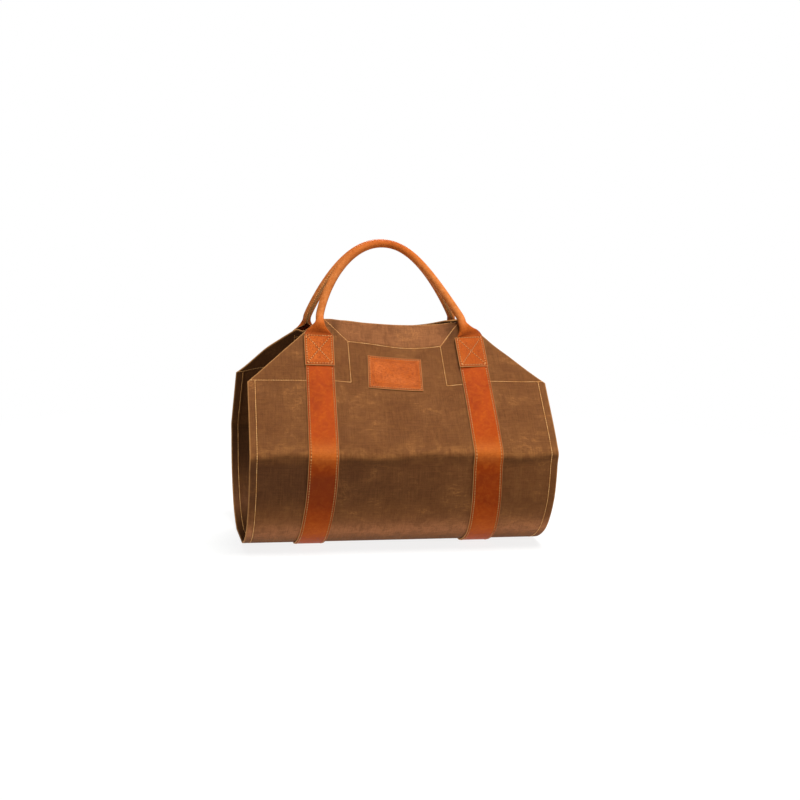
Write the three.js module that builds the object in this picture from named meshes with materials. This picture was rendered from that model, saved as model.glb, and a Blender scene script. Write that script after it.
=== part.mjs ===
// Canvas log carrier: a sling of waxed canvas, open at both ends, on two leather straps,
// with a rolled leather handle over each top edge and a leather patch on the front.
// Millimetres, +Z up, the front faces -Y, and the strap undersides rest on Z = 0.

import * as THREE from 'three';

// Cloth
const clothWidth = 508;
const topHeight = 372;
const bellyDepth = 166;
const clothWall = 1.4;
const sideHem = 15;
const topHem = 43;
const cornerFold = 166;
const creaseShare = 0.43;

// Leather
const strapWidth = 49;
const strapWall = 2.6;
const strapSpread = 135.5;
const tabLength = 63;
const tabWall = 2.2;
const cornerClear = 2;
const rollDiameter = 14.4;
const gripHeight = 509;
const gripShift = -18;
const rightFootShift = -10;
const patchWidth = 93;
const patchLength = 58;
const patchWall = 1.6;
const patchDrop = 72;
const patchTilt = -3.4;

// How the soft sling hangs
const frontGather = 0.063;
const rearGather = 0.045;
const edgeGather = 0.026;
const rearShift = -3;
const rearSpread = 22;
const topSag = 6.5;

// Fits and mesh steps
const gap = 0.3;
const foldStep = 0.8;
const rowStep = 22;
const rollSides = 10;
const archSteps = 22;
const neckSteps = 5;
const archPower = 2.1;
const slit = 0.5;
const coreBore = 1.2;

// Half of the sling seen from its open end, from the middle of the floor to the top edge:
// up is a share of the cloth's height, out a share of the belly's depth.
const slingRows = [
  { up: 0.0, out: 0.0 },
  { up: 0.0, out: 0.29 },
  { up: 0.08, out: 0.67 },
  { up: 0.23, out: 0.905 },
  { up: 0.4, out: 1.0 },
  { up: 0.505, out: 0.95 },
  { up: 0.65, out: 0.685 },
  { up: 0.83, out: 0.37 },
  { up: 1.0, out: 0.075 }
];

// Worked out from the sizes above
const floorClear = strapWall + gap;
const clothRise = topHeight - floorClear;
const creaseHeight = clothRise * creaseShare;
const sling = new THREE.CatmullRomCurve3(
  slingRows.map((row) => new THREE.Vector3(0, row.out * bellyDepth, row.up * clothRise)),
  false,
  'centripetal'
);
const topS = sling.getLength();
const shoulderS = topS - (cornerFold - topHem);
const halfCloth = clothWidth / 2;
const foldEdge = halfCloth - cornerFold;
const hemEdge = halfCloth - sideHem;
const strapInner = strapSpread - strapWidth / 2;
const strapOuter = strapSpread + strapWidth / 2;
const tabTopS = shoulderS + halfCloth - strapOuter - cornerClear;
const tabBottomS = tabTopS - tabLength;
const strapLift = gap;
const tabLift = strapLift + strapWall + gap;
const rollRadius = rollDiameter / 2;
const rollMiddle = rollRadius - tabWall / 2;
const rollAngle = 2 * Math.PI - slit / rollRadius;
const patchS = topS - patchDrop - patchLength / 2;

const share = (value, from, to) => THREE.MathUtils.clamp((value - from) / (to - from), 0, 1);
const blend = THREE.MathUtils.lerp;

// A point of the sling's outer face, s along it from the middle of the floor
function slingPoint(s) {
  const point = sling.getPointAt(THREE.MathUtils.clamp(Math.abs(s) / topS, 0, 1));
  point.z = Math.max(point.z, 0);
  return point;
}

// Direction up the sling at s, in the plane across it
function slingRun(s) {
  const along = Math.abs(s);
  const upper = slingPoint(Math.min(along + 1, topS));
  return upper.sub(slingPoint(Math.max(along - 1, 0))).normalize();
}

// How far up from the crease a height lies, from 0 at the crease to 1 at the top edge
function rise(height) {
  return share(height, creaseHeight, clothRise);
}

// Where the flat cloth's point (x, s) hangs; s is positive on the front and negative on the rear,
// and lift is measured outwards from the cloth's outer face
function hang(x, s, lift) {
  const here = slingPoint(s);
  const run = slingRun(s);
  const up = rise(here.z);
  const rear = s < 0;
  const towardEdge = share(Math.abs(x), strapOuter, halfCloth);
  const gather = blend(rear ? rearGather : frontGather, edgeGather, towardEdge);
  const slack = Math.max(0, 1 - (x / strapInner) ** 2);
  const out = here.y + lift * run.z + (rear ? rearSpread * up : 0);
  return new THREE.Vector3(
    x * (1 - gather * up) + (rear ? rearShift * up : 0),
    rear ? out : -out,
    floorClear + here.z - lift * run.y - topSag * up * slack
  );
}

// Outward direction of the hanging cloth at s
function outward(s) {
  const run = slingRun(s);
  return new THREE.Vector3(0, s < 0 ? run.z : -run.z, -run.y);
}

// Numbers from the first to the last of a list of stops, no further apart than step
function fill(stops, step) {
  const numbers = [stops[0]];
  for (let i = 1; i < stops.length; i += 1) {
    const from = stops[i - 1];
    const count = Math.max(1, Math.ceil((stops[i] - from) / step));
    for (let k = 1; k <= count; k += 1) {
      numbers.push(blend(from, stops[i], k / count));
    }
  }
  return numbers;
}

// A list of distances with its mirror image in front
function mirrored(numbers) {
  const negative = numbers.filter((number) => number > 0).map((number) => -number);
  return [...negative.reverse(), ...numbers];
}

// The part of a sorted list between two stops, with both stops
function between(numbers, from, to) {
  return [from, ...numbers.filter((number) => number > from + gap && number < to - gap), to];
}

// Closed solid between an outer and an inner skin over the same columns and rows
function sheetSolid(columns, rows, outer, inner) {
  const positions = [];
  for (const skin of [outer, inner]) {
    for (const v of rows) {
      for (const u of columns) {
        positions.push(...skin(u, v).toArray());
      }
    }
  }
  const wide = columns.length;
  const back = wide * rows.length;
  const faces = [];
  const quad = (a, b, c, d) => faces.push(a, b, c, a, c, d);
  for (let j = 0; j < rows.length - 1; j += 1) {
    for (let i = 0; i < wide - 1; i += 1) {
      const at = j * wide + i;
      quad(at, at + 1, at + 1 + wide, at + wide);
      quad(back + at, back + at + wide, back + at + 1 + wide, back + at + 1);
    }
    const first = j * wide;
    const last = first + wide - 1;
    quad(first, first + wide, back + first + wide, back + first);
    quad(last, back + last, back + last + wide, last + wide);
  }
  for (let i = 0; i < wide - 1; i += 1) {
    const top = back - wide + i;
    quad(i, back + i, back + i + 1, i + 1);
    quad(top, top + 1, back + top + 1, back + top);
  }
  const geometry = new THREE.BufferGeometry();
  geometry.setAttribute('position', new THREE.Float32BufferAttribute(positions, 3));
  geometry.setIndex(facingOut(positions, faces));
  geometry.computeVertexNormals();
  return geometry;
}

// The same triangles, turned over if they enclose a negative volume
function facingOut(positions, faces) {
  const corner = (index) => new THREE.Vector3().fromArray(positions, index * 3);
  let volume = 0;
  for (let i = 0; i < faces.length; i += 3) {
    volume += corner(faces[i]).dot(corner(faces[i + 1]).cross(corner(faces[i + 2])));
  }
  return volume > 0 ? faces : faces.reverse();
}

// Rows and columns that all pieces on the cloth share, so that their facets lie parallel
const sharedRows = fill(
  [
    0,
    shoulderS - foldStep / 2,
    shoulderS + foldStep / 2,
    topS - topHem - foldStep / 2,
    topS - topHem + foldStep / 2,
    tabBottomS,
    tabTopS,
    topS
  ].sort((a, b) => a - b),
  rowStep
);
const neckRows = fill([tabTopS, topS], (topS - tabTopS) / neckSteps).slice(1, -1);
const clothRows = mirrored([...sharedRows, ...neckRows].sort((a, b) => a - b));
const clothColumns = mirrored(
  fill(
    [
      0,
      foldEdge - foldStep / 2,
      foldEdge + foldStep / 2,
      strapInner,
      strapOuter,
      hemEdge - foldStep / 2,
      hemEdge + foldStep / 2,
      halfCloth
    ],
    patchWidth / 2
  )
);

// Half the width that is left at s, where the corner is folded in at 45 degrees
function clothEdge(s) {
  return halfCloth - Math.max(0, Math.abs(s) - shoulderS);
}

// A column's place in the flat cloth, drawn in beside the folded corner
function clothX(column, s) {
  const reach = Math.abs(column);
  if (reach <= strapInner) {
    return column;
  }
  const drawn = blend(strapInner, clothEdge(s), share(reach, strapInner, halfCloth));
  return Math.sign(column) * drawn;
}

// The cloth's wall: double in the hems and in the folded corners
function clothThickness(x, s) {
  const along = Math.abs(s);
  const reach = Math.abs(x);
  const inCorner = along > shoulderS && reach > foldEdge;
  const folded = inCorner || reach > hemEdge || along > topS - topHem;
  return folded ? 2 * clothWall : clothWall;
}

function canvasBody() {
  const outer = (u, v) => hang(clothX(u, v), v, 0);
  const inner = (u, v) => hang(clothX(u, v), v, -clothThickness(clothX(u, v), v));
  return sheetSolid(clothColumns, clothRows, outer, inner);
}

// One strip from the front tab, under the floor and up to the rear tab
function strap(centre) {
  const rows = mirrored(between(sharedRows, 0, tabTopS));
  const columns = [centre - strapWidth / 2, centre, centre + strapWidth / 2];
  const outer = (u, v) => hang(u, v, strapLift + strapWall);
  const inner = (u, v) => hang(u, v, strapLift);
  return sheetSolid(columns, rows, outer, inner);
}

// A rectangle of leather, turned a little on the cloth
function patch() {
  const rows = fill([-patchLength / 2, patchLength / 2], patchLength / 4);
  const columns = fill([-patchWidth / 2, patchWidth / 2], patchWidth / 4);
  const turn = THREE.MathUtils.degToRad(patchTilt);
  const placed = (u, v, lift) =>
    hang(u * Math.cos(turn) - v * Math.sin(turn), patchS + u * Math.sin(turn) + v * Math.cos(turn), lift);
  const outer = (u, v) => placed(u, v, gap + patchWall);
  const inner = (u, v) => placed(u, v, gap);
  return sheetSolid(columns, rows, outer, inner);
}

// Stations up one leg of a handle: flat tab, then a neck that curls towards the bag into a tube.
// Back is the middle of the leather on the side that faces away from the bag.
function legStations(x, front) {
  const rows = between([...sharedRows, ...neckRows].sort((a, b) => a - b), tabBottomS, topS);
  return rows.map((along) => {
    const s = front ? along : -along;
    const curl = THREE.MathUtils.smoothstep(along, tabTopS, topS);
    const angle = Math.max(rollAngle * curl, 0.001);
    const width = blend(strapWidth, rollMiddle * rollAngle, curl);
    const depth = (width / angle) * (1 - Math.cos(angle / 2));
    const shift = x > 0 ? rightFootShift * curl : 0;
    const back = hang(x + shift, s, tabLift + tabWall / 2 + depth);
    return { back, normal: outward(s), angle, width, curl };
  });
}

// Stations of the arch between the two necks
function archStations(left, right, front) {
  const away = new THREE.Vector3(0, front ? -1 : 1, 0);
  const middle = (left.back.x + right.back.x) / 2;
  const halfSpan = (right.back.x - left.back.x) / 2;
  const stations = [];
  for (let i = 1; i < archSteps; i += 1) {
    const t = blend(-1, 1, i / archSteps);
    const foot = t < 0 ? left : right;
    const fromTop = Math.abs(t);
    const normal = away.clone().lerp(foot.normal, fromTop ** 6).normalize();
    const apexY = away.y * (rollRadius + gap / 2);
    const footAxis = foot.back.clone().addScaledVector(foot.normal, -rollMiddle);
    const axis = new THREE.Vector3(
      blend(gripShift, middle, fromTop ** 4) + t * halfSpan,
      blend(apexY, footAxis.y, fromTop ** 4),
      blend(gripHeight - rollRadius, footAxis.z, fromTop ** archPower)
    );
    const back = axis.addScaledVector(normal, rollMiddle);
    stations.push({ back, normal, angle: rollAngle, width: rollMiddle * rollAngle, curl: 1 });
  }
  return stations;
}

// A leather strip bent about its length at each station, flat at its ends and rolled between
function handle(front) {
  const leftLeg = legStations(-strapSpread, front);
  const rightLeg = legStations(strapSpread, front);
  const left = leftLeg[leftLeg.length - 1];
  const right = rightLeg[rightLeg.length - 1];
  const stations = [...leftLeg, ...archStations(left, right, front), ...rightLeg.reverse()];
  stations.forEach((station, i) => {
    const before = stations[Math.max(i - 1, 0)].back;
    const after = stations[Math.min(i + 1, stations.length - 1)].back;
    const run = after.clone().sub(before).normalize();
    station.across = run.cross(station.normal).normalize();
  });
  const skin = (side) => (u, v) => {
    const { back, normal, across, angle, width, curl } = stations[v];
    const middle = width / angle;
    const flatWall = side * tabWall / 2;
    const radius = side > 0 ? middle + flatWall : blend(middle + flatWall, coreBore, curl ** 8);
    const turn = angle * u;
    return back
      .clone()
      .addScaledVector(across, radius * Math.sin(turn))
      .addScaledVector(normal, radius * Math.cos(turn) - middle);
  };
  const columns = fill([-0.5, 0.5], 1 / rollSides);
  return sheetSolid(columns, stations.map((station, i) => i), skin(1), skin(-1));
}

const canvas = new THREE.MeshStandardMaterial({ color: 0x6e5334, roughness: 0.8, metalness: 0 });
const leather = new THREE.MeshStandardMaterial({ color: 0xb06a34, roughness: 0.55, metalness: 0 });

const carrier = new THREE.Group();

function add(name, geometry, material) {
  const mesh = new THREE.Mesh(geometry, material);
  mesh.name = name;
  carrier.add(mesh);
}

add('canvas_body', canvasBody(), canvas);
add('strap_left', strap(-strapSpread), leather);
add('strap_right', strap(strapSpread), leather);
add('handle_front', handle(true), leather);
add('handle_rear', handle(false), leather);
add('label_patch', patch(), leather);

export default carrier;
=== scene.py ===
# %% [markdown]
# # A canvas log carrier
# A log carrier is a sling: one strip of waxed canvas, open at both ends, that holds firewood.
# Two leather straps run under it, and a rolled leather handle is sewn over each top edge.
# Every piece is made flat first, as it lies on the cutting table, and is then wrapped on the
# hanging shape by one function. Stitches, hems and straps so stay where the maker puts them.

import math

import bmesh
import bpy
import numpy as np
from mathutils import Matrix, Vector


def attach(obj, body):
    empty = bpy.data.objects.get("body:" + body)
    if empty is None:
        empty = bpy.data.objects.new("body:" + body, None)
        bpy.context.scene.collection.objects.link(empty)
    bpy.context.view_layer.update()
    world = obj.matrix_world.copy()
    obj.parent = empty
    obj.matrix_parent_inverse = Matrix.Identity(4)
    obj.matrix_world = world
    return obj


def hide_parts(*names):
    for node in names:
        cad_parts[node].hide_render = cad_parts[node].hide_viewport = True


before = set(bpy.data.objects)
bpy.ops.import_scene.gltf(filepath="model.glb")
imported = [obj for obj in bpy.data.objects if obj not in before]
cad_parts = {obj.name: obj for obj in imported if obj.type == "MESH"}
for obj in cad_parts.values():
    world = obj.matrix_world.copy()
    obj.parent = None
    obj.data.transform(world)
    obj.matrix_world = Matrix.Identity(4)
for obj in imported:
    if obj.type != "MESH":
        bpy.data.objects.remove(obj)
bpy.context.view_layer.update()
mm = 0.001

# %% [markdown]
# ## The sizes of the carrier
# These are the sizes that the cloth and the leather are cut to, in metres. Lengths along the
# sling are called s: 0 is the middle of the floor, positive on the front panel, negative on the
# rear one. Lengths across are called x. Lift is how far out from the cloth's face something lies.

# %% Sizes
cloth_width = 508 * mm
top_height = 377 * mm
belly_depth = 166 * mm
cloth_wall = 1.4 * mm
side_hem = 15 * mm
top_hem = 45 * mm
corner_fold = 121 * mm
flap_edge = 80 * mm
strap_width = 49 * mm
strap_wall = 2.6 * mm
strap_spread = 135.5 * mm
tab_length = 60 * mm
tab_wall = 2.2 * mm
roll_radius = 6.8 * mm
grip_height = 509 * mm
patch_size = (94 * mm, 64 * mm)
patch_wall = 1.6 * mm
patch_drop = 70 * mm
patch_shift = -5 * mm
patch_tilt = math.radians(-3.4)
gap = 0.3 * mm
rear_shift = 22 * mm
seam_pinch = 0.35 * mm
floor_limit = -0.1 * mm

floor_clear = strap_wall + gap
cloth_rise = top_height - floor_clear
crease_height = cloth_rise * 0.444
half_cloth = cloth_width / 2
hem_edge = half_cloth - side_hem
strap_inner = strap_spread - strap_width / 2
strap_outer = strap_spread + strap_width / 2

# %% [markdown]
# ## The hanging shape
# Standing on its straps, the sling makes a teardrop seen from its open end: a flat foot, a
# belly, a soft crease where the panel was folded in its packet, and then a lean to the top edge.
# A spline through ten points gives it. It is sampled finely, with its length measured along the
# way, so that any s can be looked up and the cloth keeps its cut length.

# %% The sling's curve, seen from its open end
# Each row is a height as a share of the cloth's rise and a depth as a share of the belly's.
sling_rows = [(0, 0), (0, 0.29), (0.08, 0.67), (0.23, 0.905), (0.39, 0.985)]
sling_rows += [(0.45, 1), (0.495, 0.945), (0.65, 0.685), (0.83, 0.37), (1, 0.075)]
knots = [np.array((out * belly_depth, up * cloth_rise)) for up, out in sling_rows]
knots = [2 * knots[0] - knots[1]] + knots + [2 * knots[-1] - knots[-2]]

curve = []
for p0, p1, p2, p3 in zip(knots, knots[1:], knots[2:], knots[3:]):
    d0, d1, d2 = (np.linalg.norm(b - a) ** 0.5 for a, b in ((p0, p1), (p1, p2), (p2, p3)))
    pull_in = ((p1 - p0) / d0 - (p2 - p0) / (d0 + d1) + (p2 - p1) / d1) * d1
    pull_out = ((p2 - p1) / d1 - (p3 - p1) / (d1 + d2) + (p3 - p2) / d2) * d1
    for t in np.arange(0, 1, 1 / 80):
        bend = (2 * p1 - 2 * p2 + pull_in + pull_out) * t + (3 * p2 - 3 * p1 - 2 * pull_in - pull_out)
        curve.append(p1 + (pull_in + bend * t) * t)
curve = np.array(curve + [knots[-2]])
curve_s = np.concatenate(([0], np.cumsum(np.linalg.norm(np.diff(curve, axis=0), axis=1))))
curve[:, 1] = np.maximum(curve[:, 1], 0)
top_s = curve_s[-1]
hem_s = top_s - top_hem
shoulder_s = top_s - corner_fold
tab_top_s = shoulder_s + half_cloth - strap_outer - 7 * mm
tab_bottom_s = tab_top_s - tab_length
crease_s = float(np.interp(crease_height, curve[:, 1], curve_s))
print(f"cloth {cloth_width:.3f} by {2 * top_s:.3f} m, crease {crease_s:.3f} m from the middle")

# %% [markdown]
# ## Wrapping a flat point on the sling
# The panels are not a plain extrusion. Towards the top the cloth is gathered between the
# handles, and its edge sags a little between them, to the right and at two of the corners.
# Waxed canvas is stiff, so it also keeps shallow waves and the ridge of its old fold. All pieces
# share this function, so a strap follows each wave of the cloth that it is sewn on.

# %% Wrap flat points on the hanging shape
def share(value, low, high):
    return np.clip((value - low) / (high - low), 0, 1)


def smooth(value, low, high):
    t = share(value, low, high)
    return t * t * (3 - 2 * t)


def near(value, middle, width):
    """1 where value is at the middle, fading to nothing about two widths away."""
    return np.exp(-(((value - middle) / width) ** 2))


def ripple(x, s):
    """How far the stiff cloth stands proud of the smooth sling, in metres.

    Broad and fine waves, and the ridge of the fold, which wanders a little on its way across.
    """
    side = np.where(s < 0, 2.4, 0.0)
    along = np.abs(s)
    free = smooth(along, 70 * mm, 150 * mm)
    broad = 0.9 * np.sin(x / 0.034 + 1.2 * np.sin(along / 0.07) + side)
    broad += 0.7 * np.sin(along / 0.029 + x / 0.11 + side)
    fine = 0.3 * np.sin(x / 0.0135 - along / 0.019 + side)
    wobble = 3 * mm * np.sin(x / 0.041 + side) + 1.5 * mm * np.sin(x / 0.017)
    fold = (along - crease_s - wobble) / (7 * mm)
    ridge = 1.5 * np.exp(-fold * fold) - 0.8 * np.exp(-((fold + 2.6) ** 2))
    return (0.55 * broad + 0.5 * fine + ridge) * free * mm


def on_curve(along, column):
    """The sling's curve: column 0 is how far out it is, column 1 how far up."""
    return np.interp(np.clip(along, 0, top_s), curve_s, curve[:, column])


def run_of_curve(along):
    """Direction of the sling's curve, as its outward and its upward part."""
    run_out = on_curve(along + mm, 0) - on_curve(along - mm, 0)
    run_up = on_curve(along + mm, 1) - on_curve(along - mm, 1)
    length = np.hypot(run_out, run_up)
    return run_out / length, run_up / length


def sag_of_edge(x, rear, droop):
    """How far a top edge hangs below its full height at x, in metres."""
    slack = np.maximum(0, 1 - (x / strap_inner) ** 2)
    right = smooth(x, -110 * mm, 90 * mm) * (1 - smooth(x, 112 * mm, 172 * mm))
    rear_corner = 17 * smooth(-x, 198 * mm, 256 * mm)
    front_corner = 9 * smooth(x, 150 * mm, 245 * mm)
    corner = np.where(rear, rear_corner, front_corner)
    return (np.where(rear, 11, 6.5) * slack + np.where(rear, 7, 6) * right + 7 * droop + corner) * mm


def hang(x, s, lift):
    """Places of flat points (x, s, lift) on the hanging sling, as rows of x, y, z."""
    x, s, lift = np.broadcast_arrays(*(np.asarray(v, dtype=float) for v in (x, s, lift)))
    along = np.minimum(np.abs(s), top_s)
    out, up = on_curve(along, 0), on_curve(along, 1)
    run_out, run_up = run_of_curve(along)
    rear = s < 0
    rise = share(up, crease_height, cloth_rise)
    droop = np.where(rear, near(x, -strap_spread, 45 * mm), 0)
    toward_edge = share(np.abs(x), strap_outer, half_cloth)
    gather = np.where(rear, 0.045, 0.063) * (1 - toward_edge) + 0.026 * toward_edge
    proud = lift + ripple(x, s)
    depth = out + proud * run_up + np.where(rear, rear_shift * rise, 0)
    height = floor_clear + up - proud * run_out - sag_of_edge(x, rear, droop) * rise
    return np.stack(
        (
            x * (1 - gather * rise) - (np.where(rear, 3, 0) + 5 * droop) * mm * rise,
            np.where(rear, depth, -depth),
            np.maximum(height, floor_limit),
        ),
        axis=-1,
    )


def outward(s):
    """Outward direction of the cloth at s."""
    run_out, run_up = run_of_curve(np.abs(s))
    return np.stack((np.zeros_like(s), np.where(s < 0, 1, -1) * run_up, -run_out), axis=-1)


print("front top edge", hang(0, top_s, 0).round(3), "belly", hang(0, crease_s, 0).round(3))

# %% [markdown]
# ## Cutting a blank
# Cloth and leather are both cut from a flat sheet. A grid is trimmed by one straight cut for
# each side, as with shears, and scored along the lines where its thickness or finish changes,
# so that those edges come out crisp. It is then given a wall with solidify. Close to a cut edge
# the wall is drawn in along a quarter circle: a wide one for a folded hem, a narrow one for
# leather that was cut square and only eased.

# %% Cut, score and thicken a flat blank
def cut_blank(width, length, step, cuts, scores):
    """A flat grid trimmed by cuts and scored by scores, each a point and an outward direction."""
    bm = bmesh.new()
    columns, rows = round(width / step), round(length / step)
    bmesh.ops.create_grid(bm, x_segments=columns, y_segments=rows, size=0.5)
    bmesh.ops.scale(bm, vec=(width, length, 1), verts=bm.verts)
    for lines, trim in ((cuts, True), (scores, False)):
        for point, out in lines:
            bmesh.ops.bisect_plane(
                bm,
                geom=bm.verts[:] + bm.edges[:] + bm.faces[:],
                dist=1e-6,
                plane_co=(*point, 0),
                plane_no=(*out, 0),
                clear_outer=trim,
            )
    bmesh.ops.recalc_face_normals(bm, faces=bm.faces)
    return bm


def edge_distance(x, s, cuts):
    """Distance of flat points from the nearest cut."""
    away = [((p[0] - x) * n[0] + (p[1] - s) * n[1]) / math.hypot(*n) for p, n in cuts]
    return np.min(away, axis=0)


def inside_lines(cuts, *distances):
    """Score lines that run along every cut at these distances."""
    lines = []
    for point, out in cuts:
        long = math.hypot(*out)
        for distance in distances:
            moved = tuple(p - n / long * distance for p, n in zip(point, out))
            lines.append((moved, out))
    return lines


def flat_places(bm):
    """The points of a flat piece as three arrays: x, s and lift."""
    return np.array([v.co for v in bm.verts]).T


# %% [markdown]
# ## From a flat bmesh to a finished piece
# Each vertex keeps its flat place in a UV map, in metres, so a weave or a grain follows the
# piece round every bend. Facts that the finish needs, such as the distance from an edge,
# travel along as attributes.

# %% Turn a wrapped bmesh into an object
def add_object(name, data):
    made = bpy.data.objects.new(name, data)
    bpy.context.scene.collection.objects.link(made)
    return made


def finish_piece(name, bm, places, slot, node_names=(), **facts):
    """Makes the object: bm holds the flat piece, places where its points end up."""
    flat = flat_places(bm)
    for vert, place in zip(bm.verts, places):
        vert.co = place
    bmesh.ops.recalc_face_normals(bm, faces=bm.faces)
    mesh = bpy.data.meshes.new(name)
    bm.to_mesh(mesh)
    bm.free()
    layer = mesh.uv_layers.new(name="flat")
    corner = np.empty(len(mesh.loops), dtype=np.int32)
    mesh.loops.foreach_get("vertex_index", corner)
    layer.data.foreach_set("uv", flat[:2].T[corner].astype(np.float32).ravel())
    for key, values in facts.items():
        attribute = mesh.attributes.new(key, "FLOAT", "POINT")
        attribute.data.foreach_set("value", np.asarray(values, dtype=np.float32))
    mesh.shade_smooth()
    piece = add_object(name, mesh)
    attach(piece, "root")
    if node_names:
        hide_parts(*node_names)
    triangles = sum(len(p.vertices) - 2 for p in mesh.polygons)
    print(f"{name}: {triangles} triangles")
    return piece


# %% [markdown]
# ## Small helpers for materials
# One function turns a hex colour to the linear values that Blender works in, and one adds a
# node with its settings and links, which keeps each material readable from top to bottom.

# %% Material helpers
def linear(hex_colour):
    """A colour as written on a web page, in the linear values that Blender uses."""
    parts = [int(hex_colour[i : i + 2], 16) / 255 for i in (1, 3, 5)]
    parts = [c / 12.92 if c <= 0.04045 else ((c + 0.055) / 1.055) ** 2.4 for c in parts]
    return (*parts, 1)


def add_node(tree, kind, links=None, **settings):
    """A new node: links are values or sockets for its inputs, settings its own properties."""
    made = tree.nodes.new("ShaderNode" + kind)
    for key, value in settings.items():
        setattr(made, key, value)
    for key, value in (links or {}).items():
        if isinstance(value, bpy.types.NodeSocket):
            tree.links.new(value, made.inputs[key])
        else:
            made.inputs[key].default_value = value
    return made


def maths(tree, operation, *values):
    return add_node(tree, "Math", dict(enumerate(values)), operation=operation).outputs[0]


def times(tree, a, b):
    return maths(tree, "MULTIPLY", a, b)


def mix(tree, factor, a, b, blend="MIX"):
    """Colour a, with a share of factor taken over by colour b."""
    made = tree.nodes.new("ShaderNodeMix")
    made.data_type = "RGBA"
    made.blend_type = blend
    for socket, value in ((made.inputs[0], factor), (made.inputs[6], a), (made.inputs[7], b)):
        if isinstance(value, bpy.types.NodeSocket):
            tree.links.new(value, socket)
        else:
            socket.default_value = value
    return made.outputs[2]


def from_to(tree, value, low, high, to_low=0.0, to_high=1.0):
    """The range from low to high moved to another one, softly, and held beyond its ends."""
    links = {0: value, 1: low, 2: high, 3: to_low, 4: to_high}
    return add_node(tree, "MapRange", links, interpolation_type="SMOOTHSTEP").outputs[0]


def noise(tree, where, size, detail=3.0, rough=0.5, stretch=(1, 1, 1), twist=0.0):
    """Noise with features about size metres across, longer where stretch is above 1."""
    scale = [1 / (size * s) for s in stretch]
    mapped = add_node(tree, "Mapping", {"Vector": where, "Scale": scale})
    links = {"Vector": mapped.outputs[0], "Scale": 1.0, "Detail": detail, "Roughness": rough}
    links["Distortion"] = twist
    return add_node(tree, "TexNoise", links).outputs["Fac"]


def fact(tree, name):
    """A fact that the piece carries as an attribute."""
    return add_node(tree, "Attribute", attribute_name=name).outputs["Fac"]


def new_material(name):
    material = bpy.data.materials.new(name)
    material.use_nodes = True
    tree = material.node_tree
    tree.nodes.clear()
    shader = add_node(tree, "BsdfPrincipled")
    add_node(tree, "OutputMaterial", {"Surface": shader.outputs[0]})
    return material, tree, shader


# %% [markdown]
# ## Waxed cotton duck
# Duck is a plain weave of thick cotton yarn, here filled with wax. The wax makes it brown
# and dull, and every rub or fold leaves a paler mark, so an old carrier is
# marbled all over and pale along its folded edges. Real duck has about ten yarns in a
# centimetre. That is finer than a pixel here, so the weave is drawn at 1.7 mm.

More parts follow.
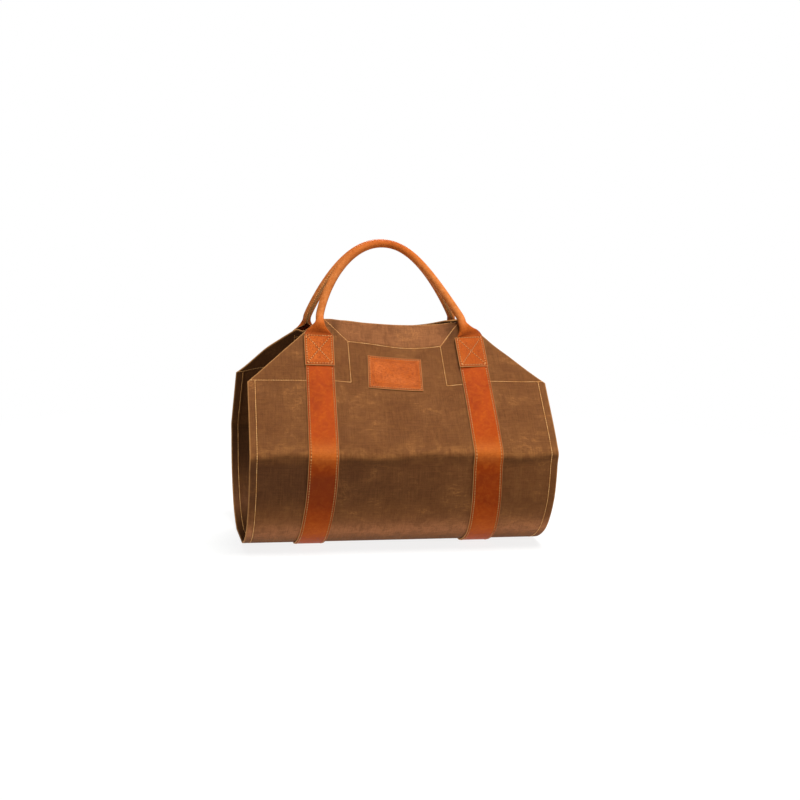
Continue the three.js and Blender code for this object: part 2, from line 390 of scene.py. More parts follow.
# %% Material: waxed cotton duck
def waxed_duck():
    """Cloth colour from the ground up: clouds, rubbed veins, folds, scuffs, painted bounce light,
    painted shade, stitches and yarns.
    """
    material, tree, shader = new_material("waxed_cotton_duck")
    uv = add_node(tree, "UVMap", uv_map="flat").outputs[0]
    edge, seam, fold = fact(tree, "edge"), fact(tree, "seam"), fact(tree, "fold")
    inner, crease, scuff = fact(tree, "inner"), fact(tree, "crease"), fact(tree, "scuff")
    neck, hollow = fact(tree, "neck"), fact(tree, "hollow")

    pitch = 1.7 * mm
    wavy = add_node(tree, "Mapping", {"Vector": uv, "Scale": [2 * math.pi / pitch] * 3}).outputs[0]
    xyz = add_node(tree, "SeparateXYZ", {0: wavy})
    warp, weft = (maths(tree, "SINE", xyz.outputs[k]) for k in (0, 1))
    weave = times(tree, warp, weft)
    yarn = 1.4 * mm
    slub_across = noise(tree, uv, yarn, 2, 0.6, stretch=(22, 1, 1))
    slub_along = noise(tree, uv, yarn, 2, 0.6, stretch=(1, 26, 1))
    slub = maths(tree, "ADD", slub_across, slub_along)

    cloud = noise(tree, uv, 62 * mm, 5, 0.62, twist=0.6)
    patchy = noise(tree, uv, 19 * mm, 6, 0.68, twist=1.4)
    vein = noise(tree, uv, 34 * mm, 7, 0.7, stretch=(1.8, 1, 1), twist=2.2)
    crackle = maths(tree, "ABSOLUTE", maths(tree, "SUBTRACT", vein, 0.5))
    crackle = from_to(tree, crackle, 0.0, 0.03, 1.0, 0.0)
    rubbed_here = from_to(tree, cloud, 0.5, 0.66)
    rub = times(tree, crackle, rubbed_here)

    brown = mix(tree, from_to(tree, cloud, 0.3, 0.7), linear("#653d20"), linear("#714727"))
    brown = mix(tree, from_to(tree, patchy, 0.4, 0.72, 0.0, 0.55), brown, linear("#7b4f2b"))
    brown = mix(tree, times(tree, rub, 0.55), brown, linear("#a66c3a"))
    fold_rub = times(tree, fold, from_to(tree, patchy, 0.38, 0.62, 0.15, 1.0))
    brown = mix(tree, times(tree, fold_rub, 0.5), brown, linear("#926034"))
    # Scuffs; round the bottom the paler colour is also painted bounce light from the floor.
    scuffed = times(tree, scuff, from_to(tree, patchy, 0.3, 0.6, 0.25, 0.62))
    brown = mix(tree, scuffed, brown, linear("#a96d48"))
    # Painted shade: darker below the crease, where the lower panel falls into shade.
    brown = mix(tree, times(tree, hollow, 0.5), brown, linear("#301c14"))
    # Painted shadow: a dark line just below the ridge of the old fold.
    brown = mix(tree, times(tree, crease, 0.4), brown, linear("#3f2614"))
    # Painted shade: darker beside each handle's neck at the top edge, where the handle shades the
    # cloth.
    brown = mix(tree, times(tree, neck, 0.6), brown, linear("#341f10"))
    # Painted shade: the inner face is darkened, as inside the bag it lies in shade.
    brown = mix(tree, times(tree, inner, 0.6), brown, linear("#3c2412"))
    pucker = from_to(tree, seam, 0.5, 3.4, 0.45, 0.0)
    brown = mix(tree, times(tree, pucker, slub_along), brown, linear("#3f2614"))
    worn_here = from_to(tree, patchy, 0.2, 0.55, 0.45, 0.9)
    worn = times(tree, from_to(tree, edge, 0.5, 2.6, 1.0, 0.0), worn_here)
    brown = mix(tree, worn, brown, linear("#ad7a48"))
    thread_shade = from_to(tree, slub, 0.7, 1.3, 0.83, 1.15)
    shade = times(tree, thread_shade, from_to(tree, weave, -1.0, 1.0, 0.78, 1.14))
    grey = add_node(tree, "CombineColor", {0: shade, 1: shade, 2: shade}).outputs[0]
    brown = mix(tree, 1.0, brown, grey, "MULTIPLY")

    rough = from_to(tree, patchy, 0.3, 0.7, 0.58, 0.74)
    high = maths(tree, "ADD", times(tree, weave, 0.12), times(tree, slub, 0.5))
    high = maths(tree, "ADD", high, times(tree, patchy, 0.9))
    high = maths(tree, "SUBTRACT", high, times(tree, pucker, 0.7))
    bump = add_node(tree, "Bump", {"Height": high, "Strength": 0.5, "Distance": 0.7 * mm})
    for socket, value in (("Base Color", brown), ("Roughness", rough), ("Normal", bump.outputs[0])):
        tree.links.new(value, shader.inputs[socket])
    shader.inputs["IOR"].default_value = 1.47
    shader.inputs["Specular IOR Level"].default_value = 0.03
    return material


duck = waxed_duck()
print("made", duck.name, len(duck.node_tree.nodes), "nodes")

# %% [markdown]
# ## Oiled vegetable-tanned leather
# The straps are harness leather: dyed orange-brown, oiled, and pressed smooth. Where such
# leather bends, the oil is pushed away and the colour turns brighter and yellower, with fine
# wrinkles across the bend. The brighter bands are also painted highlight, standing in for gloss.
# A cut edge shows the pale middle of the hide. The tabs and the patch are a softer cut with an
# open, pebbled grain, so the grain's depth is a choice.

# %% Material: oiled leather
def oiled_leather(name, pebble, base, deep):
    """Leather between two browns, with a grain as deep as pebble says, from 0 to 1."""
    material, tree, shader = new_material(name)
    uv = add_node(tree, "UVMap", uv_map="flat").outputs[0]
    edge, bend, dim = fact(tree, "edge"), fact(tree, "bend"), fact(tree, "dim")
    handled_and_highlit = fact(tree, "handled_and_highlit")

    cloud = noise(tree, uv, 45 * mm, 4, 0.6, twist=0.4)
    mottle = noise(tree, uv, 8 * mm, 5, 0.65, twist=0.8)
    grain_at = add_node(tree, "Mapping", {"Vector": uv, "Scale": [1 / (1.5 * mm)] * 3}).outputs[0]
    cells = add_node(tree, "TexVoronoi", {"Vector": grain_at, "Scale": 1.0, "Randomness": 0.9})
    pebbles = from_to(tree, cells.outputs["Distance"], 0.15, 0.75, 1.0, 0.0)
    pores = noise(tree, uv, 0.9 * mm, 2, 0.5)

    tan = mix(tree, from_to(tree, cloud, 0.32, 0.66), linear(deep), linear(base))
    tan = mix(tree, from_to(tree, mottle, 0.4, 0.72, 0.0, 0.6), tan, linear("#b25315"))
    # Painted shade: dim darkens the straps below the crease, the crease where a roll begins and the
    # inside of the tube; on the patch it darkens the pressed lines.
    tan = mix(tree, times(tree, dim, 0.75), tan, linear("#642812"))
    wrinkle = noise(tree, uv, 1.3 * mm, 3, 0.6, stretch=(14, 1, 1), twist=0.6)
    # Brighter at the bends: oil pushed away, and painted highlight standing in for gloss.
    bend_pull_up_and_highlight = times(tree, bend, from_to(tree, wrinkle, 0.3, 0.7, 0.7, 1.0))
    tan = mix(tree, times(tree, bend_pull_up_and_highlight, 0.5), tan, linear("#c67433"))
    # Painted highlight: the legs of each handle are lighter where light falls on the roll; the same
    # fact also smooths their grain.
    held = mix(tree, from_to(tree, mottle, 0.36, 0.66), linear("#c27237"), linear("#d98a4d"))
    tan = mix(tree, times(tree, handled_and_highlit, 0.7), tan, held)
    depth = from_to(tree, handled_and_highlit, 0.0, 0.5, pebble, 0.2)
    between = times(tree, from_to(tree, pebbles, 0.0, 0.5, 0.8, 0.0), depth)
    tan = mix(tree, between, tan, linear("#6a2a0d"))
    burnish = times(tree, from_to(tree, edge, 1.0, 3.4, 1.0, 0.0), 0.45)
    tan = mix(tree, burnish, tan, linear("#64250b"))
    raw_reach = from_to(tree, handled_and_highlit, 0.0, 0.5, 1.0, 2.6)
    raw_edge = from_to(tree, edge, 0.25, raw_reach, 1.0, 0.0)
    raw = times(tree, raw_edge, from_to(tree, mottle, 0.2, 0.5, 0.6, 1.0))
    tan = mix(tree, raw, tan, linear("#bd8a56"))

    rough = from_to(tree, mottle, 0.3, 0.7, 0.36, 0.5)
    rough = maths(tree, "ADD", rough, times(tree, raw, 0.3))
    high = times(tree, pebbles, depth)
    high = maths(tree, "ADD", high, times(tree, pores, 0.35))
    wrinkles = times(tree, wrinkle, bend)
    high = maths(tree, "ADD", high, times(tree, wrinkles, 2.2))
    bump = add_node(tree, "Bump", {"Height": high, "Strength": 0.5, "Distance": 0.4 * mm})
    for socket, value in (("Base Color", tan), ("Roughness", rough), ("Normal", bump.outputs[0])):
        tree.links.new(value, shader.inputs[socket])
    shader.inputs["IOR"].default_value = 1.5
    shader.inputs["Specular IOR Level"].default_value = 0.02
    return material


strap_leather = oiled_leather("oiled_harness_leather", 0.2, "#9e3d05", "#8c3203")
tab_leather = oiled_leather("pebbled_bag_leather", 0.7, "#b85b20", "#a34a16")
patch_leather = oiled_leather("pebbled_patch_leather", 0.7, "#ba612a", "#a5501e")
print("made", strap_leather.name, tab_leather.name, "and", patch_leather.name)

# %% [markdown]
# ## The canvas
# The cloth is one strip. Its sides and top edges are turned in and sewn, and each corner is
# folded in at 45 degrees, so it lies double there. Inside, the turned-in cloth makes a step. The
# strip is cut with eight cuts, scored at every seam, and solidified. The inner face of a folded
# part is pushed in by a second wall.

# %% Cut the canvas
cloth_cuts = [((side * half_cloth, 0), (side, 0)) for side in (-1, 1)]
cloth_cuts += [((0, end * top_s), (0, end)) for end in (-1, 1)]
for side in (-1, 1):
    cloth_cuts += [((side * half_cloth, end * shoulder_s), (side, end)) for end in (-1, 1)]
step_half = 0.4 * mm
seam_inset = 3 * mm
scores = inside_lines(cloth_cuts, 0.35 * mm, 0.9 * mm, 1.8 * mm, 3.2 * mm)
hem_lines = [hem_edge - step_half, hem_edge + step_half, hem_edge - seam_inset + 5 * mm]
hem_lines += [flap_edge - step_half, flap_edge + step_half]
fold_lines = [shoulder_s - step_half, shoulder_s + step_half, hem_s - step_half, hem_s + step_half]
for side in (-1, 1):
    scores += [((side * line, 0), (1, 0)) for line in hem_lines]
    scores += [((0, side * line), (0, 1)) for line in fold_lines]
spare = 8 * mm
cloth = cut_blank(cloth_width + spare, 2 * top_s + spare, 4.6 * mm, cloth_cuts, scores)
print("flat cloth:", len(cloth.verts), "points")


# %% Double the wall in hems and folded corners, and round the folds
def doubled(x, s):
    """True where the cloth lies double."""
    reach, along = np.abs(x), np.abs(s)
    corner = (along > shoulder_s) & (reach > flap_edge)
    return corner | (reach > hem_edge) | (along > hem_s)


def inner_depth(x, s):
    """How far in the inner face lies: one wall, or two where the cloth is double."""
    return np.where(doubled(x, s), 2.0, 1.0) * cloth_wall


def seam_distance(x, s):
    """Distance from the nearest row of canvas stitches, in metres."""
    reach, along = np.abs(x), np.abs(s)
    rows = [
        np.where(along < shoulder_s + seam_inset, np.abs(reach - hem_edge - seam_inset), 1),
        np.where(reach > flap_edge, np.abs(along - shoulder_s - seam_inset), 1),
        np.where((along > shoulder_s) & (along < hem_s), np.abs(reach - flap_edge - seam_inset), 1),
        np.where(reach < flap_edge, np.abs(along - hem_s - seam_inset), 1),
    ]
    return np.min(rows, axis=0)


def round_edge(lift, wall_low, wall_high, distance, radius):
    """Draws lift towards the middle of the wall close to the edge, as on a quarter circle."""
    middle = (wall_low + wall_high) / 2
    closeness = 1 - np.clip(distance / radius, 0, 1)
    full = np.sqrt(np.maximum(1 - closeness * closeness, 0.02))
    return middle + (lift - middle) * full


def hang_cloth(x, s, lift):
    """Wraps flat points of the cloth, slipped down a little along the sling.

    Its seams are not quite straight, and beside the rear left handle its edge is pulled down.
    """
    along = np.abs(s)
    between = np.maximum(0, 1 - (x / flap_edge) ** 2)
    hem = 4.5 * share(x, -80 * mm, 80 * mm) + 5 * between * smooth(x, -60 * mm, 30 * mm)
    from_side = share(half_cloth - np.abs(x), 0, half_cloth - flap_edge)
    fold = (4 + 5 * smooth(x, -60 * mm, 60 * mm)) * from_side
    neck = 19 * smooth(x, -157 * mm, -137 * mm) * (1 - smooth(x, -118 * mm, -75 * mm))
    neck = np.where(s < 0, neck * smooth(along, top_s - 80 * mm, top_s - 12 * mm), 0)
    slip = hem * near(along, hem_s, 22 * mm) + fold * near(along, shoulder_s, 30 * mm) + neck
    return hang(x, s - np.sign(s) * slip * mm, lift)


def under_crease(x, s):
    """How much painted shade a place gets below the crease, less so to the right."""
    along = np.abs(s)
    below = smooth(along, crease_s - 110 * mm, crease_s - 50 * mm)
    below = below * (1 - smooth(along, crease_s - 18 * mm, crease_s))
    return below * (1 - 0.9 * share(x, -180 * mm, 180 * mm))


def rubbed(x, s):
    """Where the cloth is scuffed: round the bottom, and on the top hem between the flaps. Round the
    bottom the paler colour is also painted bounce light from the floor.
    """
    along = np.abs(s)
    on_hem = smooth(along, hem_s, hem_s + 6 * mm) * (np.abs(x) < flap_edge + along - hem_s)
    return np.maximum(near(along, 122 * mm, 26 * mm), 0.45 * on_hem)


# %% Wrap the canvas
bmesh.ops.solidify(cloth, geom=cloth.faces[:], thickness=cloth_wall)
x, s, lift = flat_places(cloth)
inner = lift < lift.mean()
wall = inner_depth(x, s)
pinch = seam_pinch * near(seam_distance(x, s), 0, 1.6 * mm)
from_edge = edge_distance(x, s, cloth_cuts)
cloth_lift = round_edge(np.where(inner, -wall + pinch, -pinch), -wall, 0 * wall, from_edge, 1.6 * mm)
wave = 4 * mm * np.sin(x / 0.041) + 2 * mm * np.sin(x / 0.017)
from_fold = np.abs(s) - crease_s - wave
cloth_piece = finish_piece(
    "canvas_sling",
    cloth,
    hang_cloth(x, s, cloth_lift),
    "canvas",
    ["canvas_body"],
    edge=from_edge / mm,
    seam=seam_distance(x, s) / mm,
    fold=near(from_fold, 7 * mm, 9 * mm),
    inner=inner,
    hollow=under_crease(x, s),
    # crease is a painted shadow just below the fold's ridge
    crease=near(from_fold, -5 * mm, 5 * mm),
    scuff=rubbed(x, s),
    # neck is painted shade on the cloth beside the handle necks
    neck=near(np.abs(x), 106 * mm, 11 * mm) * near(top_s - np.abs(s), 14 * mm, 20 * mm),
)
cloth_piece.data.materials.append(duck)

# %% [markdown]
# ## The straps
# A strap is a strip of harness leather sewn on the cloth from one handle tab, down the panel,
# under the floor and up to the other tab. It is cut like the cloth, with a smaller rounding, and
# it lies on the outside of the cloth, so its lift starts just above the cloth's face.

# %% The two straps
def leather_facts(x, s, cuts):
    """Edge distance, brightness at the bends, partly painted highlight, and painted shade below the
    crease of a leather piece.
    """
    along = np.abs(s)
    bend = near(along, crease_s + 6 * mm, 17 * mm) + 0.4 * near(along, 128 * mm, 30 * mm)
    # Painted shade below the crease, where the lower panels turn away from the light.
    dim = smooth(along, 110 * mm, crease_s - 45 * mm)
    dim = dim * (1 - smooth(along, crease_s - 40 * mm, crease_s - 4 * mm))
    return {"edge": edge_distance(x, s, cuts) / mm, "bend": bend, "dim": dim}


def leather_blank(width, length, step, wall):
    """A rectangle of leather with eased edges: the bmesh, its flat places and its cuts."""
    cuts = [((side * width / 2, 0), (side, 0)) for side in (-1, 1)]
    cuts += [((0, end * length / 2), (0, end)) for end in (-1, 1)]
    scores = inside_lines(cuts, 0.25 * mm, 0.6 * mm, 1.2 * mm, 3.2 * mm)
    bm = cut_blank(width + 4 * mm, length + 4 * mm, step, cuts, scores)
    bmesh.ops.solidify(bm, geom=bm.faces[:], thickness=wall)
    x, s, lift = flat_places(bm)
    lift = np.where(lift > lift.mean(), wall, 0.0)
    lift = round_edge(lift, 0, wall, edge_distance(x, s, cuts), 0.6 * mm)
    return bm, (x, s, lift), cuts


def strap_middle(side, s):
    """Where the middle of a strap runs: the two straps splay a little towards the floor."""
    splay = 7 * mm * (1 - smooth(np.abs(s), 70 * mm, crease_s - 10 * mm))
    return side * (strap_spread + splay)


for side, name in ((-1, "left"), (1, "right")):
    bm, (x, s, lift), cuts = leather_blank(strap_width, 2 * tab_top_s, 4 * mm, strap_wall)
    facts = leather_facts(x, s, cuts)
    # Painted shade, more of it on the left strap.
    facts["dim"] = facts["dim"] * (0.8 - 0.2 * side)  # the left strap lies deeper in the shade
    piece = finish_piece(
        f"leather_strap_{name}",
        bm,
        hang(x + strap_middle(side, s), s, gap + lift),
        "leather",
        [f"strap_{name}"],
        **facts,
    )
    piece.data.materials.append(strap_leather)

# %% [markdown]
# ## The rolled handles
# A handle is one strip of softer leather. Its ends lie flat on the straps as tabs. Above a
# tab the strip curls towards the bag until its edges meet, and the tube is sewn shut round a
# cord. To make that, a line is run up one leg, over the arch and down the other. At each
# place on it the strip has a direction, a width and an angle that it is curled through: none
# on the tab and a full turn on the grip.

# %% The line that a handle follows
roll_middle = roll_radius - tab_wall / 2
roll_angle = 2 * math.pi - 0.5 * mm / roll_radius
tab_lift = gap + strap_wall + gap


def leg_line(x, front):
    """The line up one leg, from the tab's lower end to the top edge: rows along it."""
    along = np.arange(tab_bottom_s, top_s, 1.5 * mm)
    along = np.append(along, top_s)
    curl = smooth(along, tab_top_s - mm, tab_top_s + 26 * mm)
    angle = np.maximum(roll_angle * curl, 0.001)
    shoulder = strap_width - 8 * mm * smooth(along, tab_top_s - 2 * mm, tab_top_s + 7 * mm)
    width = shoulder + (roll_middle * roll_angle - shoulder) * curl
    depth = width / angle * (1 - np.cos(angle / 2))
    shift = (-9 * mm if x > 0 else 3 * mm) * curl - (0 if front else 2 * mm) * curl
    s = along if front else -along
    back = hang(x + shift, s, tab_lift + tab_wall / 2 + depth)
    return back, outward(s), angle, width, curl


def blend(a, b, amount):
    return a + (b - a) * amount


def arch_line(left, right, front):
    """The line over the arch, from the left leg's end to the right one's: rows along it."""
    lean = -18 * mm
    away = np.array((0, -1 if front else 1, 0.0))
    t = np.linspace(-1, 1, 181)[1:-1]
    from_top = np.abs(t)[:, None]
    foot_normal = np.where(t[:, None] < 0, left[1][-1], right[1][-1])
    foot_back = np.where(t[:, None] < 0, left[0][-1], right[0][-1])
    normal = away + (foot_normal - away) * from_top**6
    normal /= np.linalg.norm(normal, axis=1)[:, None]
    axis = foot_back - foot_normal * roll_middle
    middle = (left[0][-1][0] + right[0][-1][0]) / 2
    half_span = (right[0][-1][0] - left[0][-1][0]) / 2
    axis = np.stack(
        (
            blend(lean, middle, from_top[:, 0] ** 4) + t * half_span,
            blend(away[1] * (roll_radius + gap / 2), axis[:, 1], from_top[:, 0] ** 4),
            blend(grip_height - roll_radius, axis[:, 2], from_top[:, 0] ** 2.1),
        ),
        axis=-1,
    )
    ones = np.ones(len(t))
    width = ones * roll_middle * roll_angle
    return axis + normal * roll_middle, normal, ones * roll_angle, width, ones


def handle_line(front):
    """Arrays along the whole handle, with the joins between legs and arch eased."""
    left, right = leg_line(-strap_spread, front), leg_line(strap_spread, front)
    arch = arch_line(left, right, front)
    back, normal, angle, width, curl = (
        np.concatenate((a, b, c[::-1])) for a, b, c in zip(left, arch, right)
    )
    kernel = np.hanning(13) / np.hanning(13).sum()
    ease = np.clip(curl * 4, 0, 1)
    for k in range(3):
        padded = np.concatenate(([back[0, k]] * 6, back[:, k], [back[-1, k]] * 6))
        back[:, k] = back[:, k] * (1 - ease) + np.convolve(padded, kernel, "valid") * ease
    run = np.gradient(back, axis=0)
    across = np.cross(run, normal)
    across /= np.linalg.norm(across, axis=1)[:, None]
    length = np.concatenate(([0], np.cumsum(np.linalg.norm(np.diff(back, axis=0), axis=1))))
    line = {"length": length, "back": back, "normal": normal}
    line.update(across=across, angle=angle, width=width)
    return line


def curl_strip(line, q, along, h):
    """Places of flat points of a curled strip.

    q is a share across, from -0.5 to 0.5, and h the height above the middle of the leather.
    """
    def at_place(values):
        columns = values.reshape(len(values), -1).T
        return np.stack([np.interp(along, line["length"], column) for column in columns], axis=-1)

    angle = at_place(line["angle"])[:, 0]
    radius = at_place(line["width"])[:, 0] / angle
    side = (radius + h) * np.sin(angle * q)
    depth = (radius + h) * np.cos(angle * q) - radius
    places = at_place(line["back"]) + at_place(line["across"]) * side[:, None]
    return places + at_place(line["normal"]) * depth[:, None]


lines = {name: handle_line(name == "front") for name in ("front", "rear")}
for name, line in lines.items():
    print(name, "handle strip is", round(line["length"][-1], 3), "m long")

# %% Wrap the handle strips
for name, line in lines.items():
    long = line["length"][-1]
    bm, (x, s, lift), cuts = leather_blank(strap_width, long, 2.6 * mm, tab_wall)
    along = s + long / 2
    from_end = np.minimum(along, long - along)
    # Painted shade: dim darkens the crease where the roll begins and the inner face inside the tube.
    in_neck = 0.8 * near(from_end, tab_length + 3 * mm, 5 * mm)
    in_tube = (lift < tab_wall / 2) * smooth(from_end, tab_length - 2 * mm, tab_length + 5 * mm)
    # Handled: smoother grain and a painted highlight on the legs, fading over the arch.
    handled_and_highlit = smooth(from_end, tab_length + 6 * mm, tab_length + 45 * mm)
    handled_and_highlit = handled_and_highlit * (1 - 0.8 * smooth(from_end, 160 * mm, 270 * mm))
    edge = edge_distance(x, s, cuts) / mm
    facts = {"edge": edge, "dim": np.maximum(in_neck, in_tube), "handled_and_highlit": handled_and_highlit}
    places = curl_strip(line, x / strap_width, along, lift - tab_wall / 2)
    piece = finish_piece(f"rolled_handle_{name}", bm, places, "leather", [f"handle_{name}"], **facts)
    piece.data.materials.append(tab_leather)

# %% [markdown]
# ## The patch
# The patch is left unprinted: only two plain border lines are pressed in, as a maker would frame
# it before sewing. The grid is fine enough for the pressed lines to be real depth.

# %% The patch on the front panel
patch_s = top_s - patch_drop - patch_size[1] / 2


def place_on_panel(x, s, lift):
    """Turns the patch a little and wraps it on the front panel."""
    c, d = math.cos(patch_tilt), math.sin(patch_tilt)
    return hang(patch_shift + x * c - s * d, patch_s + x * d + s * c, lift)


bm, (x, s, lift), cuts = leather_blank(*patch_size, 0.8 * mm, patch_wall)
from_edge = edge_distance(x, s, cuts)
pressed = near(from_edge, 7.5 * mm, 0.8 * mm) + near(from_edge, 10 * mm, 0.6 * mm)
pressed_depth = 0.35 * mm
lift = lift - pressed_depth * pressed * (lift > patch_wall / 2)
facts = {"edge": from_edge / mm, "dim": 0.5 * pressed * (lift > patch_wall / 2)}
places = place_on_panel(x, s, gap + lift)
patch = finish_piece("leather_patch", bm, places, "leather", ["label_patch"], **facts)
patch.data.materials.append(patch_leather)

# %% [markdown]
# ## Thread
# Canvas and leather are sewn with thick waxed thread. A stitch shows as a short plump dash that
# dives into a hole at each end. One sphere, stretched, is the pattern for all of them. It is laid
# flat along each seam line and wrapped by the same function as the piece below, so it bends with
# it. On the leather, a small dark dimple marks each hole.

# %% Lay stitches along flat seam lines
def pattern_bead(segments, rings):
    """Points and faces of a unit sphere, the pattern for a stitch or a hole."""
    bm = bmesh.new()
    bmesh.ops.create_uvsphere(bm, u_segments=segments, v_segments=rings, radius=1)
    bmesh.ops.rotate(bm, cent=(0, 0, 0), matrix=Matrix.Rotation(math.pi / 2, 3, "Y"), verts=bm.verts)
    points = np.array([v.co for v in bm.verts])
    faces = [[v.index for v in f.verts] for f in bm.faces]
    bm.free()
    return points, faces


def seam_marks(path, pitch):
    """Middle points and directions of the marks along a path of flat points."""
    path = np.array(path, dtype=float)
    legs = np.linalg.norm(np.diff(path, axis=0), axis=1)
    total = legs.sum()
    count = max(1, round(total / pitch))
    at = (np.arange(count) + 0.5) * total / count
    length = np.concatenate(([0], np.cumsum(legs)))
    middle = np.stack([np.interp(at, length, path[:, k]) for k in (0, 1)], axis=-1)
    leg = np.clip(np.searchsorted(length, at) - 1, 0, len(legs) - 1)
    return middle, (np.diff(path, axis=0) / legs[:, None])[leg]


def lay_beads(marks, size, lift, bead):
    """Flat points and faces of one bead on each mark; size is half its length, width and height."""
    points, faces = bead
    middle, run = marks
    side = np.stack((-run[:, 1], run[:, 0]), axis=-1)
    flat = middle[:, None, :] + run[:, None, :] * points[None, :, :1] * size[0]
    flat = flat + side[:, None, :] * points[None, :, 1:2] * size[1]
    high = np.broadcast_to(lift + points[None, :, 2] * size[2], flat.shape[:2])
    return np.concatenate((flat, high[:, :, None]), axis=2).reshape(-1, 3), faces, len(middle)


def sew(name, seams, size, bead, material):
    """Joins the beads of many seams in one piece; a seam is its marks, its lift and its wrap."""
    places, polygons, start = [], [], 0
    for marks, lift, wrap in seams:
        flat, faces, count = lay_beads(marks, size, lift, bead)
        places.append(wrap(flat[:, 0], flat[:, 1], flat[:, 2]))
        stride = len(bead[0])
        for k in range(count):
            polygons += [[start + k * stride + v for v in face] for face in faces]
        start += count * stride
    mesh = bpy.data.meshes.new(name)
    mesh.from_pydata(np.concatenate(places), [], polygons)
    work = bmesh.new()
    work.from_mesh(mesh)
    bmesh.ops.recalc_face_normals(work, faces=work.faces)
    work.to_mesh(mesh)
    work.free()
    mesh.shade_smooth()
    piece = add_object(name, mesh)
    piece.data.materials.append(material)
    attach(piece, "root")
    print(f"{name}: {start // len(bead[0])} beads, {sum(len(p) - 2 for p in polygons)} triangles")
    return piece


# %% [markdown]
# ## Waxed thread and awl holes
# The thread is polyester, twisted from three plies and waxed to the colour of honey. Only the
# twist and the dirt it picks up vary it. A hole is deep shade in dark, compressed leather.

# %% Materials: waxed thread and holes
def waxed_thread():
    material, tree, shader = new_material("waxed_polyester_thread")
    where = add_node(tree, "TexCoord").outputs["Object"]
    dirt = noise(tree, where, 9 * mm, 3, 0.6)
    ply = noise(tree, where, 0.5 * mm, 1, 0.5)
    honey = mix(tree, from_to(tree, dirt, 0.35, 0.65), linear("#cf9150"), linear("#efb876"))
    honey = mix(tree, from_to(tree, ply, 0.35, 0.65, 0.25, 0.0), honey, linear("#8a6038"))
    bump = add_node(tree, "Bump", {"Height": ply, "Strength": 0.4, "Distance": 0.1 * mm})
    tree.links.new(honey, shader.inputs["Base Color"])
    tree.links.new(bump.outputs[0], shader.inputs["Normal"])
    shader.inputs["Roughness"].default_value = 0.55
    shader.inputs["IOR"].default_value = 1.5
    shader.inputs["Specular IOR Level"].default_value = 0.08
    return material


def awl_hole():
    # Painted shade: a dark bead stands for the shade in a hole, in leather darkened by pressing.
    material, tree, shader = new_material("pressed_leather_and_shade_in_awl_hole")
    where = add_node(tree, "TexCoord").outputs["Object"]
    shade = noise(tree, where, 4 * mm, 2, 0.5)
    dark = mix(tree, shade, linear("#2a1008"), linear("#4a2010"))
    tree.links.new(dark, shader.inputs["Base Color"])
    shader.inputs["Roughness"].default_value = 0.8
    shader.inputs["Specular IOR Level"].default_value = 0.05
    return material


thread, hole = waxed_thread(), awl_hole()
stitch_bead, hole_bead = pattern_bead(6, 5), pattern_bead(6, 4)

# %% Sew the canvas, inside and out
canvas_rows = []
row_side = hem_edge + seam_inset
row_top = hem_s + seam_inset
row_shoulder = shoulder_s + seam_inset
row_fold = flap_edge + seam_inset
row_end = half_cloth - seam_inset - mm
diagonal = top_hem - seam_inset - 2 * mm
for side in (-1, 1):
    canvas_rows.append([(side * row_side, -row_shoulder), (side * row_side, row_shoulder)])
    for end in (-1, 1):
        flap_corner = (side * row_fold, end * row_shoulder)
        hem_corner = (side * row_fold, end * row_top)
        hem_end = (side * (row_fold + diagonal), end * (row_top + diagonal))
        canvas_rows.append([flap_corner, (side * row_end, end * row_shoulder)])
        canvas_rows.append([flap_corner, hem_corner])
        canvas_rows.append([hem_corner, hem_end])
for end in (-1, 1):
    canvas_rows.append([(-row_fold, end * row_top), (row_fold, end * row_top)])


def canvas_inside(x, s, lift):
    """The same wrap, measured inwards from the cloth's inner face."""
    return hang_cloth(x, s, -inner_depth(x, s) + seam_pinch - lift)


def canvas_outside(x, s, lift):
    return hang_cloth(x, s, lift - seam_pinch)


over_canvas = 0.2 * mm
over_leather = 0.05 * mm
canvas_seams = []
for row in canvas_rows:
    marks = seam_marks(row, 4 * mm)
    canvas_seams.append((marks, over_canvas, canvas_outside))
    canvas_seams.append((marks, over_canvas, canvas_inside))
sew("thread_in_canvas", canvas_seams, (2.0 * mm, 0.6 * mm, 0.5 * mm), stitch_bead, thread)

# %% Lay the seams of the straps, the tabs and the patch
inset = 3.6 * mm
strap_pitch, inside_pitch, tab_pitch, fine_pitch = 4.8 * mm, 3.7 * mm, 4.7 * mm, 4.2 * mm
strap_rows, strap_seams = [], []
for side in (-1, 1):
    for half in (-1, 1):
        row_s = np.linspace(-tab_bottom_s + 3 * mm, tab_bottom_s - 3 * mm, 200)
        row_x = strap_middle(side, row_s) + half * (strap_width / 2 - inset)
        strap_rows.append(np.stack((row_x, row_s), axis=-1))
for row in strap_rows:
    strap_seams.append((seam_marks(row, strap_pitch), gap + strap_wall + over_leather, hang))
    strap_seams.append((seam_marks(row, inside_pitch), over_canvas, canvas_inside))


def on_strip(line):
    """The function that wraps flat points on a handle's outer face: x across, s along it."""
    def wrap(x, s, lift):
        width = np.interp(s, line["length"], line["width"])
        return curl_strip(line, x / width, s, lift + tab_wall / 2)
    return wrap


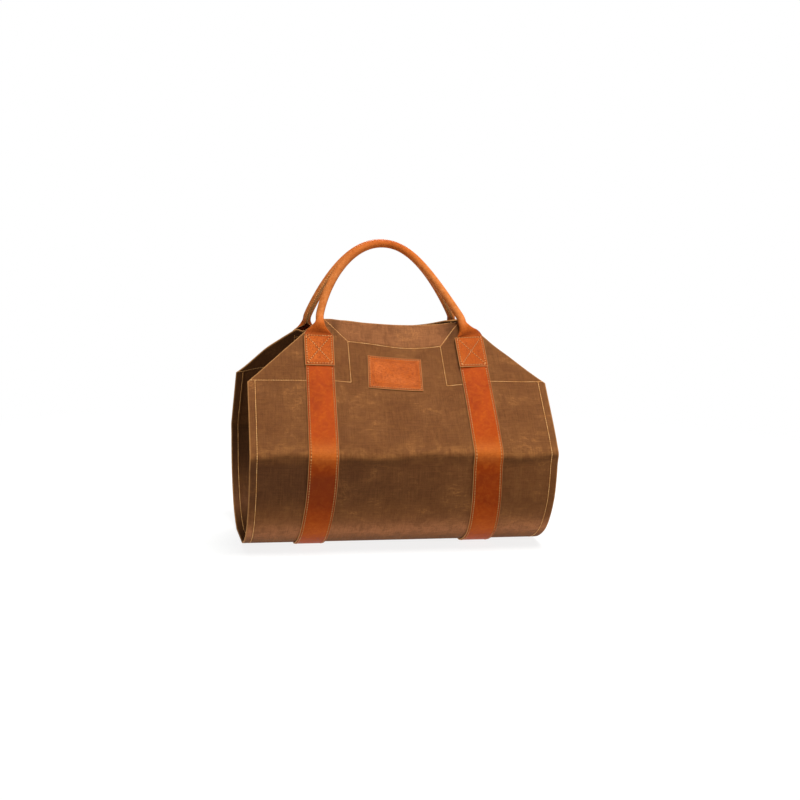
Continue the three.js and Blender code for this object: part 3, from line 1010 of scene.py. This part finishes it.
tab_seams, roll_seams = [], []
half_box = strap_width / 2 - inset
low, high = inset, tab_length - 3 * mm
box_path = [(-half_box, low), (half_box, low), (half_box, high), (-half_box, high), (-half_box, low)]
cross_paths = [[(-half_box, low), (half_box, high)], [(half_box, low), (-half_box, high)]]
for name, line in lines.items():
    long = line["length"][-1]
    wrap = on_strip(line)
    for turned in (False, True):
        for path in [box_path] + cross_paths:
            rows = [(x, long - s) if turned else (x, s) for x, s in path]
            tab_seams.append((seam_marks(rows, tab_pitch), over_leather, wrap))
    start = tab_length + 30 * mm
    x_row = roll_middle * roll_angle / 2 - 2.6 * mm
    roll_marks = seam_marks([(x_row, start), (x_row, long - start)], fine_pitch)
    roll_seams.append((roll_marks, over_leather, wrap))
inside_seams = []
for side in (-1, 1):
    for end in (-1, 1):
        for path in [box_path] + cross_paths:
            rows = [(side * strap_spread + x, end * (tab_bottom_s + s)) for x, s in path]
            inside_seams.append((seam_marks(rows, tab_pitch), over_canvas, canvas_inside))
half_wide, half_high = (size / 2 - 3 * mm for size in patch_size)
patch_box = [(-1, -1), (1, -1), (1, 1), (-1, 1), (-1, -1)]
patch_path = [(a * half_wide, b * half_high) for a, b in patch_box]
patch_seam = (seam_marks(patch_path, fine_pitch), gap + patch_wall + over_leather, place_on_panel)
behind_patch = [(patch_shift + x, patch_s + s) for x, s in patch_path]
inside_seams.append((seam_marks(behind_patch, fine_pitch), over_canvas, canvas_inside))

# %% Sew them
sew("thread_in_straps", strap_seams, (1.25 * mm, 0.75 * mm, 0.6 * mm), stitch_bead, thread)
sew("thread_in_handles", tab_seams, (1.25 * mm, 0.7 * mm, 0.6 * mm), stitch_bead, thread)
sew("thread_inside", inside_seams, (1.9 * mm, 0.6 * mm, 0.5 * mm), stitch_bead, thread)
sew("thread_in_rolls", roll_seams, (1.5 * mm, 0.45 * mm, 0.4 * mm), stitch_bead, thread)
sew("thread_in_patch", [patch_seam], (1.0 * mm, 0.55 * mm, 0.5 * mm), stitch_bead, thread)

# %% Mark the holes at the ends of the stitches in leather
def hole_marks(seam):
    """The same marks, half a pitch further on and a touch lower."""
    (middle, run), lift, wrap = seam
    half_pitch = np.linalg.norm(middle[1] - middle[0]) * 0.5
    return (middle + run * half_pitch, run), lift - 0.02 * mm, wrap


hole_seams = [hole_marks(seam) for seam in strap_seams[0::2] + tab_seams + [patch_seam]]
hole_size = (1.15 * mm, 0.9 * mm, 0.16 * mm)
sew("holes_in_leather", hole_seams, hole_size, hole_bead, hole)

# %% [markdown]
# ## Floor, light and camera
# The carrier stands on a plain pale floor that glows to pure white away from it, so no horizon
# shows from any side. The light is a big soft box overhead, a little in front, so the upper
# panels are bright and the panels below the crease fall into shade. A weak light fills in from
# the right, and one behind lights the rear. The camera looks from slightly left and above.

# %% The floor
def studio_floor():
    """A sheet of paper that glows: a little less near the carrier, where it also takes light and
    shadow, and pure white half a metre away and on. Its glow lights the carrier from below.
    """
    bm = bmesh.new()
    bmesh.ops.create_grid(bm, x_segments=1, y_segments=1, size=3.4)
    mesh = bpy.data.meshes.new("studio_floor")
    bm.to_mesh(mesh)
    bm.free()
    floor = add_object("studio_floor", mesh)
    material, tree, shader = new_material("pale_studio_paper")
    where = add_node(tree, "TexCoord").outputs["Object"]
    away = add_node(tree, "VectorMath", {0: where}, operation="LENGTH").outputs["Value"]
    far = from_to(tree, away, 0.5, 1.5)
    paper = mix(tree, far, linear("#747472"), linear("#000000"))
    glow = from_to(tree, far, 0.0, 1.0, 0.84, 1.0)
    tree.links.new(paper, shader.inputs["Base Color"])
    tree.links.new(glow, shader.inputs["Emission Strength"])
    shader.inputs["Emission Color"].default_value = linear("#ffffff")
    shader.inputs["Roughness"].default_value = 0.9
    shader.inputs["Specular IOR Level"].default_value = 0.0
    mesh.materials.append(material)
    return floor


studio_floor()


# %% The lights
def soft_box(name, place, target, size, power):
    """A rectangular light at place, in metres, turned to target; its power is in watts."""
    data = bpy.data.lights.new(name, "AREA")
    data.shape = "RECTANGLE"
    data.size, data.size_y = size
    data.energy = power
    lamp = add_object(name, data)
    lamp.location = place
    lamp.rotation_mode = "QUATERNION"
    lamp.rotation_quaternion = (Vector(target) - Vector(place)).to_track_quat("-Z", "Y")
    return lamp


soft_box("key_box", (0.35, -0.95, 2.7), (0, 0, 0.25), (1.7, 1.2), 114)
soft_box("right_fill", (2.4, -1.6, 0.6), (0, 0, 0.2), (1.0, 1.0), 13)
soft_box("rear_fill", (0.5, 2.3, 1.9), (0, 0, 0.2), (1.6, 1.0), 60)
world = bpy.data.worlds.new("pale_room")
world.use_nodes = True
room = world.node_tree
backdrop = room.nodes["Background"]
seen = add_node(room, "LightPath").outputs["Is Camera Ray"]
backdrop.inputs["Color"].default_value = linear("#ffffff")
room.links.new(from_to(room, seen, 0.0, 1.0, 0.15, 1.0), backdrop.inputs["Strength"])
bpy.context.scene.world = world
bpy.context.scene.view_settings.view_transform = "Standard"

# %% The camera
turn, height, tilt = (math.radians(v) for v in (-10.41, 8.66, 1.15))
distance = 2.603
level = math.cos(height)
back = Vector((math.sin(turn) * level, -math.cos(turn) * level, math.sin(height)))
target = Vector((-26.5 * mm, 0, 223.2 * mm))
right = (-back).cross(Vector((0, 0, 1))).normalized()
up = right.cross(-back)
camera_x = right * math.cos(tilt) + up * math.sin(tilt)
camera_y = up * math.cos(tilt) - right * math.sin(tilt)
data = bpy.data.cameras.new("photo_camera")
camera = add_object("photo_camera", data)
data.sensor_width = 36
data.lens = 68.64
data.shift_x, data.shift_y = 0.0335, 0.0094
camera.matrix_world = Matrix(
    (
        (camera_x[0], camera_y[0], back[0], 0),
        (camera_x[1], camera_y[1], back[1], 0),
        (camera_x[2], camera_y[2], back[2], 0),
        (0, 0, 0, 1),
    )
)
camera.location = target + back * distance
bpy.context.scene.camera = camera
print("camera at", tuple(round(v, 3) for v in camera.location))
